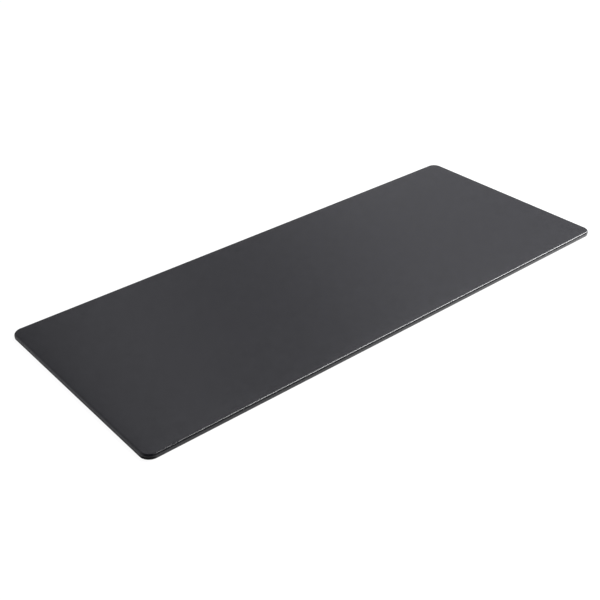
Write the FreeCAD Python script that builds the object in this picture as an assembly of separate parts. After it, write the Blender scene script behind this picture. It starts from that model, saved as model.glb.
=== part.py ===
"""Padded desk mat: a stiff board and a thin foam pad wrapped in one sheet of leatherette.

The wrapper folds over all four edges and is turned in under the board as a hem. An infill card fills
the space inside the hem, and a non-slip sheet closes the underside, a little in from the edge.

Frame: millimetres, +X along the length, +Y from the user's edge to the far edge, +Z up.
The origin is at the middle of the underside, on the desk.
"""

import FreeCAD, Part

import math
import os

# The outside of the mat.
LENGTH = 850.0
WIDTH = 350.0
CORNER_RADIUS = 15.0
TOP_ROLL = 3.0  # how round the padded top edge is
BOTTOM_ROLL = 1.2  # how round the fold under the board is

# The stack, from the desk up. With the cover over the foam it adds up to a mat 8 mm thick.
BACKING_THICKNESS = 0.6
COVER_THICKNESS = 0.9  # also the thickness of the hem
BOARD_THICKNESS = 4.0
FOAM_THICKNESS = 1.6

# The underside.
HEM_WIDTH = 20.0  # from the mat's outer edge to the hem's cut edge
MITRE_GAP = 0.3  # where two hems meet at a corner
MITRE_END = 8.0  # the mitre cut stops this far from the two outer edges, under the non-slip sheet
CARD_GAP = 0.5  # between the infill card and the hem
BACKING_INSET = 4.0  # from the mat's outer edge to the non-slip sheet

FILLING_GAP = 0.05  # between the cover's inside and what it wraps
CUT_MARGIN = 1.0  # how far a cutting block stands past the face that it cuts
SAME_HEIGHT = 1e-6  # heights this close are one height

BACKING_TOP = BACKING_THICKNESS
HEM_TOP = BACKING_TOP + COVER_THICKNESS
BOARD_TOP = HEM_TOP + BOARD_THICKNESS
FOAM_TOP = BOARD_TOP + FOAM_THICKNESS
MAT_TOP = FOAM_TOP + COVER_THICKNESS


def plate(inset, low, high):
    """A flat plate from low to high, with the mat's outline moved in by inset and its corners round."""
    length = LENGTH - 2 * inset
    width = WIDTH - 2 * inset
    corner = FreeCAD.Vector(-length / 2, -width / 2, low)
    block = Part.makeBox(length, width, high - low, corner)
    upright = [edge for edge in block.Edges if edge.BoundBox.ZLength > SAME_HEIGHT]
    return block.makeFillet(CORNER_RADIUS - inset, upright)


def rim(shape, height):
    """The edges that run round a plate at one height."""
    return [edge for edge in shape.Edges if all(abs(v.Z - height) < SAME_HEIGHT for v in edge.Vertexes)]


def wrapped_form(inset, low, high):
    """A plate with the mat's round top edge and tighter bottom edge, all moved in by inset."""
    form = plate(inset, low, high)
    form = form.makeFillet(TOP_ROLL - inset, rim(form, high))
    return form.makeFillet(BOTTOM_ROLL - inset, rim(form, low))


def layer(form, low, high):
    """The part of a form between two heights."""
    corner = FreeCAD.Vector(-LENGTH / 2, -WIDTH / 2, low)
    return form.common(Part.makeBox(LENGTH, WIDTH, high - low, corner))


def square_panel(inset, low, high):
    """A flat panel with square corners, inset from the mat's outer edge."""
    corner = FreeCAD.Vector(inset - LENGTH / 2, inset - WIDTH / 2, low)
    return Part.makeBox(LENGTH - 2 * inset, WIDTH - 2 * inset, high - low, corner)


def filling_form():
    """What the cover wraps: the board and the foam together, clear of the cover by FILLING_GAP."""
    return wrapped_form(COVER_THICKNESS + FILLING_GAP, HEM_TOP, FOAM_TOP)


def mitre_cut(side_x, side_y):
    """The slit between two hems, from their inner corner out to near the mat's rounded corner."""
    run = (HEM_WIDTH - MITRE_END) * math.sqrt(2)
    start = FreeCAD.Vector(-MITRE_GAP / 2, -MITRE_GAP, BACKING_TOP - CUT_MARGIN)
    slit = Part.makeBox(MITRE_GAP, run + MITRE_GAP, COVER_THICKNESS + CUT_MARGIN, start)
    outward = math.degrees(math.atan2(-side_x, side_y))
    slit.rotate(FreeCAD.Vector(0, 0, 0), FreeCAD.Vector(0, 0, 1), outward)
    inner_x = side_x * (LENGTH / 2 - HEM_WIDTH)
    inner_y = side_y * (WIDTH / 2 - HEM_WIDTH)
    slit.translate(FreeCAD.Vector(inner_x, inner_y, 0))
    return slit


def leatherette_cover():
    """One sheet over the top, round the edges and turned in under the board as a mitred hem."""
    outside = wrapped_form(0, BACKING_TOP, MAT_TOP)
    inside = wrapped_form(COVER_THICKNESS, HEM_TOP, FOAM_TOP)
    opening = square_panel(HEM_WIDTH, BACKING_TOP - CUT_MARGIN, HEM_TOP)
    cover = outside.cut(inside).cut(opening)
    for side_x in (-1, 1):
        for side_y in (-1, 1):
            cover = cover.cut(mitre_cut(side_x, side_y))
    return cover


def foam_pad():
    """Thin foam under the leatherette, which makes the top a little soft and its edge round."""
    return layer(filling_form(), BOARD_TOP, FOAM_TOP)


def core_board():
    """The stiff board that keeps the mat flat."""
    return layer(filling_form(), HEM_TOP, BOARD_TOP)


def infill_card():
    """Card as thick as the hem, which levels the underside inside it."""
    return square_panel(HEM_WIDTH + CARD_GAP, BACKING_TOP, HEM_TOP)


def nonslip_backing():
    """Thin non-slip sheet that covers the hem and the card, and lies on the desk."""
    return plate(BACKING_INSET, 0, BACKING_TOP)


PIECES = {
    "leatherette_cover": leatherette_cover,
    "foam_pad": foam_pad,
    "core_board": core_board,
    "infill_card": infill_card,
    "nonslip_backing": nonslip_backing,
}

os.makedirs("parts", exist_ok=True)
for node, make in PIECES.items():
    shape = make()
    if not shape.isValid() or len(shape.Solids) != 1:
        raise ValueError(f"{node} is not one valid solid")
    shape.Solids[0].exportStep(f"parts/{node}.step")
    size = shape.optimalBoundingBox(False)
    print(f"{node}: {size.XLength:.2f} x {size.YLength:.2f} x {size.ZLength:.2f} mm, {shape.Volume / 1000:.1f} cm3")
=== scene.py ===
"""Looks for the padded desk mat: leatherette over foam and board, with a microfibre underside.

Metres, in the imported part's own frame: +X along the mat, +Y to its far edge, +Z up, desk at z = 0.
"""

import math

import bmesh
import bpy
from mathutils import Matrix, Vector, noise


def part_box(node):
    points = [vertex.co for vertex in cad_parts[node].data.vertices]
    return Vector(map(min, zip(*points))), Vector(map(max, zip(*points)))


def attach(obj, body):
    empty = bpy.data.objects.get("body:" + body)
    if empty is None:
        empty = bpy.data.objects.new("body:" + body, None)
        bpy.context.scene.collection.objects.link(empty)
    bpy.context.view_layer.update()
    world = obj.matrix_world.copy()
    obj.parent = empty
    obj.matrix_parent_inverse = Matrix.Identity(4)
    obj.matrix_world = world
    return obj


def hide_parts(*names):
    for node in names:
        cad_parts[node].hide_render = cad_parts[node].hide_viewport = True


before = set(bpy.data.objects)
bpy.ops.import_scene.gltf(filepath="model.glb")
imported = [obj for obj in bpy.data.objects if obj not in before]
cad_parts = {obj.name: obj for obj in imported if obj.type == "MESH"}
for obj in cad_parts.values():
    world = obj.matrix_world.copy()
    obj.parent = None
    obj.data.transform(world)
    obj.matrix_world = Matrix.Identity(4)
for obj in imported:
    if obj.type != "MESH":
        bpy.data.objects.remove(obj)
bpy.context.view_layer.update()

MM = 0.001

# The mat's outline and stack, from the frame.
cover_low, cover_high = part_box("leatherette_cover")
backing_low, backing_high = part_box("nonslip_backing")
foam_low, foam_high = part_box("foam_pad")
LENGTH = cover_high.x - cover_low.x
WIDTH = cover_high.y - cover_low.y
TOP = cover_high.z
COVER_BOTTOM = cover_low.z
BACKING_INSET = (LENGTH - (backing_high.x - backing_low.x)) / 2
COVER_THICKNESS = TOP - foam_high.z

# The rest of the wrapper's shape.
CORNER_RADIUS = 15 * MM
TOP_ROLL = 3.0 * MM
BOTTOM_ROLL = 1.2 * MM
HEM_WIDTH = 20 * MM
SHOULDER_INSET = 24 * MM  # the foam starts to give way this far in from the edge
SHOULDER_DROP = 0.20 * MM  # how much lower the top is where its round edge starts
LINING_GAP = 0.05 * MM  # between the cover's inside and the foam
FOAM_TAPER = 0.1 * MM  # how much further in the foam's underside begins

# The hem's gathers round each corner.
PLEATS = 7
PLEAT_DEPTH = 0.28 * MM
PLEAT_TOP = 3.0 * MM  # the gathers fade out this high up the side
PLEAT_COVERED = 3.0 * MM  # and this far in under the backing
PLEAT_CREST = 0.85  # where a gather's long slope ends, as a share of its width
PLEAT_FADE = 0.12  # the gathers die away over this share of the corner at each end
PLEAT_SWAY = 0.35  # how unevenly they are spaced, in gathers
SWAY_WAVES = 3  # how often the spacing changes round a corner
SWAY_CORNERS = 7.3  # how far apart the corners are in the noise, so that no two are alike

# How uneven the cover and the backing are. Waves are per metre.
SWELL_WAVES = 22
SWELL_DEPTH = 0.020 * MM
RIPPLE_WAVES = 95
RIPPLE_DEPTH = 0.005 * MM
RIPPLE_SHIFT = Vector((3, 8, 1))  # takes the ripples from another part of the noise than the swell
NAP_WAVES = 60
NAP_DEPTH = 0.02 * MM
HEM_DIP = 0.07 * MM  # how far the backing dips along the hem's cut edge
HEM_DIP_WIDTH = 1.1 * MM
BACKING_BEVEL = 0.15 * MM  # of the backing's cut edge
BACKING_MARGIN = 1.5 * MM  # the backing's unevenness builds up over this far from its cut edge

# How finely the meshes are divided. Insets are in mm from the mat's outer edge.
STEPS_X = 168
STEPS_Y = 66
STEPS_CORNER = 48
STEPS_ROLL = 18
STEPS_SIDE = 5
STEPS_FOLD = 10
SHOULDER_INSETS = (24, 21, 18, 15, 13, 11.5, 10, 9, 8, 7, 6, 5, 4)
HEM_INSETS = (1.6, 2, 2.5, 3, 3.5, 4, 5, 6, 8, 11, 15)
FOAM_UNDER_INSETS = (4, 9, 15, 24)
BACKING_TOP_INSETS = (24, 15, 8)
BACKING_UNDER_INSETS = (5, 6, 8, 11, 15, 17, 18, 18.5, 19, 19.5, 20, 20.5, 21, 21.5, 22, 24)
WELD = 0.002 * MM  # points closer than this are one point
UNDERNEATH = -0.5  # a normal whose Z is less than this is on the underside


def smooth_step(low, high, value):
    """0 below low, 1 above high, and a smooth rise between."""
    t = min(max((value - low) / (high - low), 0), 1)
    return t * t * (3 - 2 * t)


def outline(inset):
    """The mat's outline moved in by inset, anticlockwise from the near left corner's end."""
    radius = max(CORNER_RADIUS - inset, 0)
    half_x = LENGTH / 2 - max(inset, CORNER_RADIUS)
    half_y = WIDTH / 2 - max(inset, CORNER_RADIUS)
    corners = [(half_x, -half_y, -90), (half_x, half_y, 0), (-half_x, half_y, 90), (-half_x, -half_y, 180)]
    steps = [STEPS_X, STEPS_Y, STEPS_X, STEPS_Y]
    points = []
    for k in range(4):
        before = corners[k - 1]
        after = corners[k]
        out = Vector((math.cos(math.radians(after[2])), math.sin(math.radians(after[2]))))
        start = Vector(before[:2]) + out * radius
        end = Vector(after[:2]) + out * radius
        points += [start.lerp(end, n / steps[k]) for n in range(steps[k])]
        for n in range(STEPS_CORNER):
            angle = math.radians(after[2] + 90 * n / STEPS_CORNER)
            points.append(Vector(after[:2]) + radius * Vector((math.cos(angle), math.sin(angle))))
    return points


def add_cap(mesh, inset, height, upwards):
    """Fills the outline at inset, which has square corners there, with a grid."""
    half_x = LENGTH / 2 - inset
    half_y = WIDTH / 2 - inset
    xs = [half_x * (2 * i / STEPS_X - 1) for i in range(STEPS_X + 1)]
    ys = [half_y * (2 * j / STEPS_Y - 1) for j in range(STEPS_Y + 1)]
    rows = [[mesh.verts.new((x, y, height)) for x in xs] for y in ys]
    for j in range(STEPS_Y):
        for i in range(STEPS_X):
            ring = [rows[j][i], rows[j][i + 1], rows[j + 1][i + 1], rows[j + 1][i]]
            mesh.faces.new(ring if upwards else ring[::-1])


def layered_mesh(name, stations, cap_end, shape):
    """A body of outlines at (inset, height) stations, from the flat top round the edge and under.

    shape(place, normal) gives how far each point moves along its normal.
    """
    mesh = bmesh.new()
    add_cap(mesh, *stations[0], upwards=True)
    rings = [[mesh.verts.new((*p, height)) for p in outline(inset)] for inset, height in stations]
    for outer, inner in zip(rings[1:], rings):
        for k in range(len(outer)):
            mesh.faces.new([inner[k - 1], outer[k - 1], outer[k], inner[k]])
    if cap_end:
        add_cap(mesh, *stations[-1], upwards=False)
    bmesh.ops.remove_doubles(mesh, verts=mesh.verts, dist=WELD)
    bmesh.ops.dissolve_degenerate(mesh, edges=mesh.edges, dist=WELD)
    mesh.normal_update()
    moves = [(v, v.normal * shape(v.co, v.normal)) for v in mesh.verts]
    for vert, move in moves:
        vert.co += move
    for face in mesh.faces:
        face.smooth = True
    data = bpy.data.meshes.new(name)
    mesh.to_mesh(data)
    mesh.free()
    piece = bpy.data.objects.new(name, data)
    bpy.context.scene.collection.objects.link(piece)
    return piece


# ---------------------------------------------------------------- shapes


def top_edge(top, offset):
    """Stations over the soft shoulder, and then round the top edge at offset in from the mat's outside."""
    stations = []
    for inset in SHOULDER_INSETS:
        give = (SHOULDER_INSET - inset * MM) / (SHOULDER_INSET - TOP_ROLL)
        stations.append((inset * MM, top - SHOULDER_DROP * give * give))
    start_tilt = math.atan(2 * SHOULDER_DROP / (SHOULDER_INSET - TOP_ROLL))
    for k in range(STEPS_ROLL + 1):
        tilt = start_tilt + (math.pi / 2 - start_tilt) * k / STEPS_ROLL
        run = (TOP_ROLL - offset) * (1 - math.sin(tilt)) / (1 - math.sin(start_tilt))
        drop = (TOP_ROLL - offset) * (math.cos(start_tilt) - math.cos(tilt))
        stations.append((offset + run, top - SHOULDER_DROP - drop))
    return stations


def cover_stations():
    """The wrapper's outside: top, round edge, side, fold, and the hem to its cut edge."""
    stations = top_edge(TOP, 0)
    side_top = stations[-1][1]
    fold_top = COVER_BOTTOM + BOTTOM_ROLL
    for k in range(1, STEPS_SIDE + 1):
        stations.append((0, side_top + (fold_top - side_top) * k / STEPS_SIDE))
    for k in range(1, STEPS_FOLD + 1):
        turn = math.radians(90 * k / STEPS_FOLD)
        stations.append((BOTTOM_ROLL * (1 - math.cos(turn)), fold_top - BOTTOM_ROLL * math.sin(turn)))
    stations += [(inset * MM, COVER_BOTTOM) for inset in HEM_INSETS]
    stations.append((HEM_WIDTH, COVER_BOTTOM))
    return stations


def past_corner_centre(place):
    """How far out a place is along X and along Y from the nearest rounded corner's centre."""
    x = abs(place.x) - (LENGTH / 2 - CORNER_RADIUS)
    y = abs(place.y) - (WIDTH / 2 - CORNER_RADIUS)
    return x, y


def edge_distance(place):
    """How far in from the mat's outer edge a place is, seen from above."""
    x, y = past_corner_centre(place)
    if x > 0 and y > 0:
        return CORNER_RADIUS - math.hypot(x, y)
    return CORNER_RADIUS - max(x, y)


def pleat(place):
    """The gathers of the hem round a corner: 0 on a fold's crest, and deepest in the crease beside it."""
    x, y = past_corner_centre(place)
    if x <= 0 or y <= 0:
        return 0
    turn = math.atan2(y, x) / (math.pi / 2)
    ends = smooth_step(0, PLEAT_FADE, turn) * smooth_step(0, PLEAT_FADE, 1 - turn)
    quadrant = 2 * (place.x > 0) + (place.y > 0)
    sway = PLEAT_SWAY * noise.noise(Vector((turn * SWAY_WAVES, quadrant * SWAY_CORNERS, 0.5)))
    along = (turn * PLEATS + sway) % 1
    if along < PLEAT_CREST:
        return ends * along**3
    return ends * PLEAT_CREST**3 * (1 - along) / (1 - PLEAT_CREST)


def cover_shape(place, normal):
    """Foam and leatherette aren't perfectly even, and the hem is gathered at the corners."""
    low_down = 1 - smooth_step(COVER_BOTTOM, COVER_BOTTOM + PLEAT_TOP, place.z)
    seen = 1 - smooth_step(BACKING_INSET, BACKING_INSET + PLEAT_COVERED, edge_distance(place))
    gather = -PLEAT_DEPTH * pleat(place) * low_down * seen
    if normal.z < UNDERNEATH:
        return gather
    swell = noise.noise(place * SWELL_WAVES) * SWELL_DEPTH
    ripple = noise.noise(place * RIPPLE_WAVES + RIPPLE_SHIFT) * RIPPLE_DEPTH
    return gather - abs(swell + ripple)


def make_cover():
    """The leatherette sheet, closed to its real thickness."""
    piece = layered_mesh("leatherette_wrap", cover_stations(), False, cover_shape)
    thick = piece.modifiers.new("thickness", "SOLIDIFY")
    thick.thickness = COVER_THICKNESS
    thick.offset = -1
    thick.use_even_offset = False
    return piece


def make_foam():
    """The thin foam pad under the leatherette, with the same soft shoulder."""
    lining = COVER_THICKNESS + LINING_GAP
    stations = [s for s in top_edge(foam_high.z, lining) if s[1] > foam_low.z]
    stations.append((lining + FOAM_TAPER, foam_low.z))
    stations += [(inset * MM, foam_low.z) for inset in FOAM_UNDER_INSETS]
    return layered_mesh("foam_sheet", stations, True, lambda place, normal: 0)


def backing_shape(place, normal):
    """The backing dips a little along the hem's cut edge, and where the nap is uneven."""
    if normal.z > UNDERNEATH:
        return 0
    inset = edge_distance(place)
    past_hem = (inset - HEM_WIDTH) / HEM_DIP_WIDTH
    dip = HEM_DIP * math.exp(-past_hem * past_hem)
    uneven = NAP_DEPTH * (0.5 + 0.5 * noise.noise(place * NAP_WAVES))
    return -(dip + uneven) * smooth_step(BACKING_INSET, BACKING_INSET + BACKING_MARGIN, inset)


def make_backing():
    """The non-slip microfibre sheet, with a cut edge that is a little rounded."""
    edge = BACKING_INSET
    bevel = BACKING_BEVEL
    top = backing_high.z
    low = backing_low.z
    stations = [(inset * MM, top) for inset in BACKING_TOP_INSETS]
    stations += [(edge + bevel, top), (edge, top - bevel), (edge, low + bevel)]
    stations += [(edge + 0.3 * bevel, low + 0.3 * bevel), (edge + bevel, low)]
    stations += [(inset * MM, low) for inset in BACKING_UNDER_INSETS]
    return layered_mesh("microfibre_underside", stations, True, backing_shape)


# ------------------------------------------------------------- materials

# Colours are linear RGB: a material's dark and pale ends. Grain sizes are in cells or waves per metre.
LEATHERETTE_COLOURS = ((0.0020, 0.0020, 0.0032), (0.0130, 0.0130, 0.0165))
MICROFIBRE_COLOURS = ((0.012, 0.012, 0.013), (0.060, 0.060, 0.063))
FOAM_COLOURS = ((0.16, 0.165, 0.17), (0.34, 0.35, 0.36))
FIBREBOARD_COLOURS = ((0.13, 0.075, 0.035), (0.34, 0.23, 0.13))
CARD_COLOURS = ((0.09, 0.085, 0.075), (0.30, 0.29, 0.265))
PEBBLES = 1500  # one is about 0.7 mm across
BUBBLES = 1500
FIBRES = 1500
NOISE_RANGE = (0.3, 0.7)  # most of a noise's values lie between these


class Nodes:
    """Short calls for building one material's node tree."""

    def __init__(self, name):
        self.material = bpy.data.materials.new(name)
        self.material.use_nodes = True
        self.tree = self.material.node_tree
        self.shader = self.tree.nodes["Principled BSDF"]
        self.place = self.tree.nodes.new("ShaderNodeTexCoord").outputs["Object"]

    def put(self, socket, value):
        """Sets a socket, or links it if the value comes from another node."""
        if isinstance(value, bpy.types.NodeSocket):
            self.tree.links.new(value, socket)
        else:
            socket.default_value = value

    def add(self, kind, output, inputs, **settings):
        """A new node with its inputs and settings filled in, as the socket of one output."""
        node = self.tree.nodes.new(kind)
        for key, value in settings.items():
            setattr(node, key, value)
        for key, value in inputs.items():
            self.put(node.inputs[key], value)
        return node.outputs[output]

    def noise(self, scale, detail=3.0, vector=None, output="Fac"):
        """A soft random pattern."""
        inputs = {"Vector": vector or self.place, "Scale": scale, "Detail": detail}
        return self.add("ShaderNodeTexNoise", output, inputs)

    def cells(self, scale, feature, vector=None):
        """A pattern of cells, as the distance to a cell's edge or to its middle."""
        inputs = {"Vector": vector or self.place, "Scale": scale}
        return self.add("ShaderNodeTexVoronoi", "Distance", inputs, feature=feature)

    def math(self, operation, a, b=0.0):
        """One sum on a and b, or on a alone."""
        return self.add("ShaderNodeMath", 0, {0: a, 1: b}, operation=operation)

    def total(self, *parts):
        """The (value, share) parts added up."""
        result = 0.0
        for value, share in parts:
            result = self.math("ADD", result, self.math("MULTIPLY", value, share))
        return result

    def span(self, value, low, high, to_low, to_high, kind="SMOOTHSTEP"):
        """to_low up to low, to_high from high on, and a smooth change between."""
        inputs = {"Value": value, "From Min": low, "From Max": high, "To Min": to_low, "To Max": to_high}
        return self.add("ShaderNodeMapRange", "Result", inputs, interpolation_type=kind)

    def colours(self, factor, low, high):
        """A colour between low and high."""
        node = self.tree.nodes.new("ShaderNodeMix")
        node.data_type = "RGBA"
        self.put(node.inputs["Factor"], factor)
        colour_inputs = [s for s in node.inputs if s.type == "RGBA"]
        self.put(colour_inputs[0], (*low, 1))
        self.put(colour_inputs[1], (*high, 1))
        return [s for s in node.outputs if s.type == "RGBA"][0]

    def warped(self, scale, amount):
        """The place, pushed about by a noise so that cells lose their straight sides."""
        push = self.noise(scale, 2.0, output="Color")
        centred = self.add("ShaderNodeVectorMath", 0, {0: push, 1: (0.5, 0.5, 0.5)}, operation="SUBTRACT")
        scaled = self.add("ShaderNodeVectorMath", 0, {0: centred, "Scale": amount}, operation="SCALE")
        return self.add("ShaderNodeVectorMath", 0, {0: self.place, 1: scaled}, operation="ADD")

    def bump(self, height, distance, strength, normal=None):
        """A normal tilted by a height pattern, on top of another normal if one is given."""
        inputs = {"Height": height, "Distance": distance, "Strength": strength}
        if normal is not None:
            inputs["Normal"] = normal
        return self.add("ShaderNodeBump", "Normal", inputs)

    def finish(self, **inputs):
        """Fills in the shader and gives the material."""
        for key, value in inputs.items():
            self.put(self.shader.inputs[key.replace("_", " ")], value)
        return self.material


class Sky(Nodes):
    """The same calls for a world's node tree."""

    def __init__(self, world):
        world.use_nodes = True
        self.tree = world.node_tree
        self.shader = self.tree.nodes["Background"]
        self.place = self.tree.nodes.new("ShaderNodeTexCoord").outputs["Generated"]
        parts = self.tree.nodes.new("ShaderNodeSeparateXYZ")
        self.put(parts.inputs[0], self.place)
        self.x, self.y, self.z = parts.outputs

    def heading(self):
        """Degrees from +Y towards +X."""
        return self.math("DEGREES", self.math("ARCTAN2", self.x, self.y))

    def height(self):
        """Degrees above the horizon."""
        return self.math("DEGREES", self.math("ARCSINE", self.z))

    def slope(self):
        """Degrees above the horizon, seen along the mat's length, from +Y round over the top."""
        return self.math("DEGREES", self.math("ARCTAN2", self.z, self.y))

    def ramp(self, value, low, high, stops):
        """A grey level that runs smoothly through (value, level) stops."""
        node = self.tree.nodes.new("ShaderNodeValToRGB")
        node.color_ramp.interpolation = "EASE"
        places = node.color_ramp.elements
        while len(places) > 1:
            places.remove(places[-1])
        for k, (stop, level) in enumerate(stops):
            along = (stop - low) / (high - low)
            element = places[0] if k == 0 else places.new(along)
            element.position = along
            element.color = (level, level, level, 1)
        self.put(node.inputs["Fac"], self.span(value, low, high, 0.0, 1.0, "LINEAR"))
        return node.outputs["Color"]


def leatherette():
    """Black leatherette: pebbled grain with fine creases darkened by painted shade, satin on the pebbles and
    duller between them.
    """
    n = Nodes("black_leatherette")
    warped = n.warped(900, 0.5 * MM)
    crease = n.span(n.cells(PEBBLES, "DISTANCE_TO_EDGE", warped), 0.0, 0.24, 0.0, 1.0)
    dome = n.span(n.cells(PEBBLES, "SMOOTH_F1", warped), 0.1, 0.75, 1.0, 0.0)
    fine = n.noise(5200)
    pebbles = n.total((crease, 0.65), (dome, 0.35))
    height = n.total((pebbles, 1.0), (fine, 0.08))
    mottle = n.span(n.noise(90, 5.0), *NOISE_RANGE, 0.0, 1.0)
    # The colour is painted shade in the creases, darker there, mixed with a random mottle of tone.
    colour = n.colours(n.total((crease, 0.7), (mottle, 0.3)), *LEATHERETTE_COLOURS)
    satin = n.span(pebbles, 0.1, 0.9, 0.24, 0.17)
    wear = n.span(n.noise(26, 4.0), *NOISE_RANGE, -0.004, 0.006)
    peel = n.bump(n.noise(150, 2.0), 0.05 * MM, 0.25)
    normal = n.bump(height, 0.055 * MM, 0.40, peel)
    return n.finish(Base_Color=colour, Roughness=n.math("ADD", satin, wear), Normal=normal)


def microfibre():
    """Short black nap: matte, with a fine fibre mottle and a soft sheen."""
    n = Nodes("black_microfibre")
    fibre = n.noise(FIBRES, 5.0, n.warped(300, 1.5 * MM))
    tuft = n.noise(240)
    patch = n.noise(35, 4.0)
    nap = n.total((fibre, 0.5), (tuft, 0.3))
    shade = n.span(n.total((nap, 1.0), (patch, 0.2)), *NOISE_RANGE, 0.0, 1.0)
    return n.finish(
        Base_Color=n.colours(shade, *MICROFIBRE_COLOURS),
        Roughness=n.span(patch, *NOISE_RANGE, 0.86, 0.96),
        Normal=n.bump(nap, 0.25 * MM, 0.8),
        Sheen_Weight=0.35,
        Sheen_Roughness=0.4,
        Specular_IOR_Level=0.25,
    )


def foam():
    """Grey closed-cell foam with small open bubbles on its skin."""
    n = Nodes("grey_foam")
    bubbles = n.cells(BUBBLES, "SMOOTH_F1")
    patch = n.noise(40)
    shade = n.span(n.total((bubbles, 1.0), (patch, 0.4)), 0.3, 0.9, 1.0, 0.0)
    return n.finish(
        Base_Color=n.colours(shade, *FOAM_COLOURS),
        Roughness=n.span(bubbles, 0.1, 0.7, 0.95, 0.8),
        Normal=n.bump(bubbles, 0.2 * MM, 0.7),
    )


def fibreboard():
    """Pressed wood fibre: brown with fine pale and dark strands."""
    n = Nodes("fibreboard")
    stretched = n.add("ShaderNodeVectorMath", 0, {0: n.place, 1: (0.4, 1.0, 1.0)}, operation="MULTIPLY")
    strands = n.noise(900, 6.0, stretched)
    patch = n.noise(18, 4.0)
    shade = n.span(n.total((strands, 0.7), (patch, 0.3)), *NOISE_RANGE, 0.0, 1.0)
    return n.finish(
        Base_Color=n.colours(shade, *FIBREBOARD_COLOURS),
        Roughness=n.span(strands, *NOISE_RANGE, 0.6, 0.85),
        Normal=n.bump(strands, 0.08 * MM, 0.5),
    )


def grey_card():
    """Recycled grey card with flecks of fibre."""
    n = Nodes("grey_card")
    pulp = n.noise(1800, 5.0)
    flecks = n.span(n.noise(420, 2.0), 0.62, 0.70, 0.0, 0.5)
    shade = n.math("SUBTRACT", n.span(pulp, *NOISE_RANGE, 0.4, 1.0), flecks)
    return n.finish(
        Base_Color=n.colours(shade, *CARD_COLOURS),
        Roughness=n.span(pulp, *NOISE_RANGE, 0.78, 0.92),
        Normal=n.bump(pulp, 0.06 * MM, 0.5),
    )


def dress(piece, material):
    """Gives a piece one material."""
    piece.data.materials.clear()
    piece.data.materials.append(material)


# ---------------------------------------------------------------- camera

LENS = 58.82  # mm
SENSOR_WIDTH = 36  # mm
CLIP_START = 0.01
CLIP_END = 50
CAMERA_HEADING = 39.42  # degrees from +Y towards +X
CAMERA_DOWN = 32.15  # degrees below the horizon
CAMERA_ROLL = 0.92  # degrees
CAMERA_AIM = Vector((-0.0611, -0.0176, 0.0))
CAMERA_RANGE = 1.4360


def direction(heading, height):
    """A unit vector at heading degrees from +Y towards +X, and height degrees above the horizon."""
    a = math.radians(heading)
    e = math.radians(height)
    return Vector((math.sin(a) * math.cos(e), math.cos(a) * math.cos(e), math.sin(e)))


def make_camera():
    """The camera, which looks down on the mat from its near left corner."""
    data = bpy.data.cameras.new("camera")
    data.sensor_width = SENSOR_WIDTH
    data.lens = LENS
    data.clip_start = CLIP_START
    data.clip_end = CLIP_END
    camera = bpy.data.objects.new("camera", data)
    bpy.context.scene.collection.objects.link(camera)
    forward = direction(CAMERA_HEADING, -CAMERA_DOWN)
    right = forward.cross(Vector((0, 0, 1))).normalized()
    up = right.cross(forward)
    turn = Matrix((right, up, -forward)).transposed() @ Matrix.Rotation(math.radians(-CAMERA_ROLL), 3, "Z")
    camera.rotation_mode = "QUATERNION"
    camera.rotation_quaternion = turn.to_quaternion()
    camera.location = CAMERA_AIM - forward * CAMERA_RANGE
    bpy.context.scene.camera = camera


# ----------------------------------------------------------------- light

KEY_PLACE = Vector((1.00, -0.30, 1.12))  # a long softbox in front of the mat, to the right
KEY_AIM = Vector((0.25, -0.12, 0.0))
KEY_LENGTH = 1.62
KEY_DEPTH = 0.32
KEY_POWER = 44

# The brightness of the walls all round, by heading in degrees from +Y towards +X.
WALLS = (
    (-180, 0.03),
    (-120, 0.05),
    (-90, 0.16),
    (-60, 0.60),
    (-30, 0.88),
    (0, 0.76),
    (18, 0.53),
    (27, 0.95),
    (33.5, 0.07),
    (40, 0.34),
    (47, 0.565),
    (52, 0.43),
    (57, 0.25),
    (66, 0.29),
    (115, 0.28),
    (150, 0.04),
)
WALL_FOOT = 31  # the height at which the headings above hold, in degrees
WALL_LEAN = 0.68  # the walls lean to the right by this much of their height above WALL_FOOT
WALL_TOPS = (46, 56)  # the heights between which the walls fade into the ceiling
CEILING = 0.05

# Factors on the walls. Each goes from its third number to its fourth as the angle goes from the first to
# the second.
LEFT_SIDE = (19, 28, 0.30, 1.0)  # by heading: dims what is to the left
FAR_LEFT = (-30, 5, 2.6, 1.0)  # by heading: gives the far left most of its light back
RISE = (20, 44, 0.95, 1.12)  # by height: a little brighter higher up
UPPER_BAND = (41, 49)  # the slopes over which the upper band begins, which takes in all the front too
UPPER_LIGHT = (20, 56, 1.2, 3.0)  # by heading: how bright the upper band is
LOWER_BAND = (31, 38)  # the slopes over which the lower band ends
LOWER_LIGHT = (38, 50, 1.05, 1.85)  # by heading: how bright the lower band is

SKY_COLOUR = (0.98, 0.98, 1.03, 1)  # a little blue
SKY_WHITE = 1.1  # the least the sky is where the camera sees it

FLOOR_SIZE = 16
FLOOR_DROP = 0.1 * MM  # how far the floor is below the mat
FLOOR_PALE = (0.9, 0.9, 0.9)
FLOOR_DARK = (0.1, 0.1, 0.1)  # in the painted shadow beside the near corner, and under the white glow that the camera sees
FLOOR_ROUGHNESS = 0.9
FLOOR_GLOW = 0.05  # the floor's own light
FLOOR_WHITE = 0.95  # the same where the camera sees the floor
PAINTED_SHADOW_PLACE = Vector((1 * MM - LENGTH / 2, 1 * MM - WIDTH / 2, 0))  # the middle of the painted shadow, which the near corner's side reflects
PAINTED_SHADOW_RADIUS = 10 * MM
PAINTED_SHADOW_END = 18 * MM  # where the painted shadow has faded out


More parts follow.
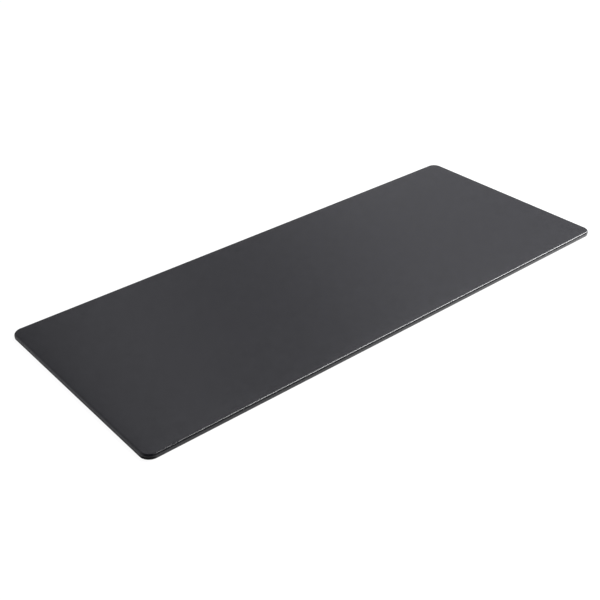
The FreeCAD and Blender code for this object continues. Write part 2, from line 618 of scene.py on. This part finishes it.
def make_key():
    """A long soft light that draws the highlight along the rolled front edge."""
    data = bpy.data.lights.new("key", "AREA")
    data.shape = "RECTANGLE"
    data.size = KEY_LENGTH
    data.size_y = KEY_DEPTH
    data.energy = KEY_POWER
    light = bpy.data.objects.new("key", data)
    bpy.context.scene.collection.objects.link(light)
    back = (KEY_PLACE - KEY_AIM).normalized()
    across = Vector((0, 1, 0)).cross(back).normalized()
    light.location = KEY_PLACE
    light.rotation_mode = "QUATERNION"
    light.rotation_quaternion = Matrix((across, back.cross(across), back)).transposed().to_quaternion()


def make_sky():
    """Light from all round: bright walls behind and beside the mat, dim ones in front, and dark overhead."""
    world = bpy.data.worlds.new("studio")
    bpy.context.scene.world = world
    n = Sky(world)
    heading = n.heading()
    height = n.height()
    slope = n.slope()
    lean = n.math("MULTIPLY", n.math("SUBTRACT", height, WALL_FOOT), WALL_LEAN)
    glow = n.ramp(n.math("SUBTRACT", heading, lean), -180, 180, WALLS)
    factors = (
        n.span(heading, *LEFT_SIDE),
        n.span(height, *RISE),
        n.span(slope, *UPPER_BAND, 1.0, n.span(heading, *UPPER_LIGHT)),
        n.span(slope, *LOWER_BAND, n.span(heading, *LOWER_LIGHT), 1.0),
        n.span(heading, *FAR_LEFT),
        n.span(height, *WALL_TOPS, 1.0, 0.0),
    )
    for factor in factors:
        glow = n.math("MULTIPLY", glow, factor)
    glow = n.math("ADD", glow, CEILING)
    seen = n.add("ShaderNodeLightPath", "Is Camera Ray", {})
    n.put(n.shader.inputs["Color"], SKY_COLOUR)
    n.put(n.shader.inputs["Strength"], n.math("MAXIMUM", glow, n.math("MULTIPLY", seen, SKY_WHITE)))


def make_floor():
    """A pale floor that glows a little, and that the camera sees as a white one.

    In the light that reaches the mat, a small patch of it beside the near left corner is dark: a painted
    shadow, for the mat's near corner to reflect.
    """
    bpy.ops.mesh.primitive_plane_add(size=FLOOR_SIZE, location=(0, 0, -FLOOR_DROP))
    floor = bpy.context.object
    floor.name = "floor"
    n = Nodes("pale_floor")
    seen = n.add("ShaderNodeLightPath", "Is Camera Ray", {})
    away = n.add("ShaderNodeVectorMath", "Value", {0: n.place, 1: PAINTED_SHADOW_PLACE}, operation="DISTANCE")
    # Painted shadow: the floor's colour for reflected light goes dark within this distance of the near
    # corner.
    shade = n.span(away, PAINTED_SHADOW_RADIUS, PAINTED_SHADOW_END, 1.0, 0.0)
    material = n.finish(
        Base_Color=n.colours(n.math("MAXIMUM", seen, shade), FLOOR_PALE, FLOOR_DARK),
        Roughness=FLOOR_ROUGHNESS,
        Emission_Color=(1, 1, 1, 1),
        Emission_Strength=n.span(seen, 0, 1, FLOOR_GLOW, FLOOR_WHITE, "LINEAR"),
    )
    dress(floor, material)


# ------------------------------------------------------------- the object

make_camera()
make_sky()
make_floor()
make_key()
bpy.context.scene.view_settings.view_transform = "Standard"

cover = make_cover()
dress(cover, leatherette())
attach(cover, "root")
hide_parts("leatherette_cover")

sheet = make_foam()
dress(sheet, foam())
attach(sheet, "root")
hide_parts("foam_pad")

underside = make_backing()
dress(underside, microfibre())
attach(underside, "root")
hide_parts("nonslip_backing")

dress(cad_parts["core_board"], fibreboard())
dress(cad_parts["infill_card"], grey_card())
